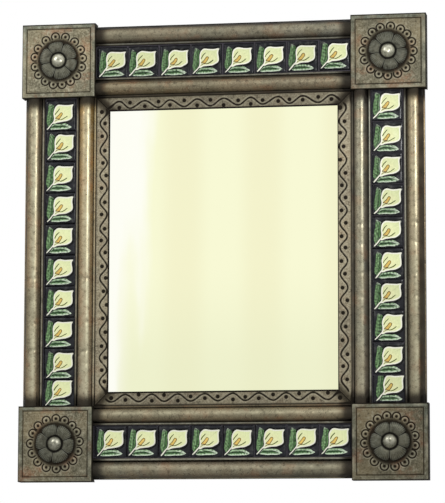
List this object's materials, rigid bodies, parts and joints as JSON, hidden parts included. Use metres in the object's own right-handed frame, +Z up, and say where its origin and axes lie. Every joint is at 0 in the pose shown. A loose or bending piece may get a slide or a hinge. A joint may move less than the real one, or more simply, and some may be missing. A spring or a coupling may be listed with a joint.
{
  "type": "tin-framed wall mirror",
  "caption": "Wall mirror in a folded tin frame: moulded rails hold rows of glazed tiles, box corner caps carry rosettes, and two wire rings hang it.",
  "frame": {"origin": "middle of the bounding box's foot: midway between the sides, midway between the dome nails' crowns and the wall's plane, at the level of the bottom caps' lower edges", "axes": "+X to the right seen from the front, +Y back to the wall, +Z up"},
  "size_m": [0.664, 0.0346, 0.7493],
  "materials": {
    "mirror": "silvered glass",
    "card": "plain brown card",
    "back_tin": "dull tinned sheet",
    "liner_tin": "antiqued tin, stamped",
    "moulding_tin": "antiqued tin, rubbed brown patina",
    "cap_tin": "antiqued tin, olive patina",
    "rosette_tin": "antiqued tin, dark patina",
    "stud_tin": "polished tin",
    "grout": "dark tinted plaster",
    "glazed_tile": "hand-painted glossy glaze",
    "wire": "plated steel wire"
  },
  "bodies": {
    "frame": {"mirror_glass": "mirror", "backing_card": "card", "back_cover": "back_tin", "cover_tabs": "back_tin", "liner_top": "liner_tin", "liner_bottom": "liner_tin", "liner_left": "liner_tin", "liner_right": "liner_tin", "inner_moulding_top": "moulding_tin", "inner_moulding_bottom": "moulding_tin", "inner_moulding_left": "moulding_tin", "inner_moulding_right": "moulding_tin", "tile_tray_top": "moulding_tin", "tile_tray_bottom": "moulding_tin", "tile_tray_left": "moulding_tin", "tile_tray_right": "moulding_tin", "outer_moulding_top": "moulding_tin", "outer_moulding_bottom": "moulding_tin", "outer_moulding_left": "moulding_tin", "outer_moulding_right": "moulding_tin", "tile_grout_top": "grout", "tile_grout_bottom": "grout", "tile_grout_left": "grout", "tile_grout_right": "grout", "tiles_top": "glazed_tile", "tiles_bottom": "glazed_tile", "tiles_left": "glazed_tile", "tiles_right": "glazed_tile", "back_plate_top": "back_tin", "back_plate_bottom": "back_tin", "back_plate_left": "back_tin", "back_plate_right": "back_tin", "corner_cap_top_left": "cap_tin", "corner_cap_top_right": "cap_tin", "corner_cap_bottom_left": "cap_tin", "corner_cap_bottom_right": "cap_tin", "corner_rosette_top_left": "rosette_tin", "corner_rosette_top_right": "rosette_tin", "corner_rosette_bottom_left": "rosette_tin", "corner_rosette_bottom_right": "rosette_tin", "corner_stud_top_left": "stud_tin", "corner_stud_top_right": "stud_tin", "corner_stud_bottom_left": "stud_tin", "corner_stud_bottom_right": "stud_tin", "stud_washers": "back_tin", "hanger_rivets": "back_tin", "hanger_strap_left": "back_tin", "hanger_strap_right": "back_tin"},
    "ring_left": {"hanging_ring_left": "wire"},
    "ring_right": {"hanging_ring_right": "wire"}
  },
  "joints": [
    {"name": "ring_left_swing", "type": "hinge", "parent": "frame", "child": "ring_left", "pos_m": [-0.14, 0.01526, 0.6953], "axis": [1, 0, 0], "range_deg": [0, 180]},
    {"name": "ring_right_swing", "type": "hinge", "parent": "frame", "child": "ring_right", "pos_m": [0.14, 0.01526, 0.6953], "axis": [1, 0, 0], "range_deg": [0, 180]}
  ]
}
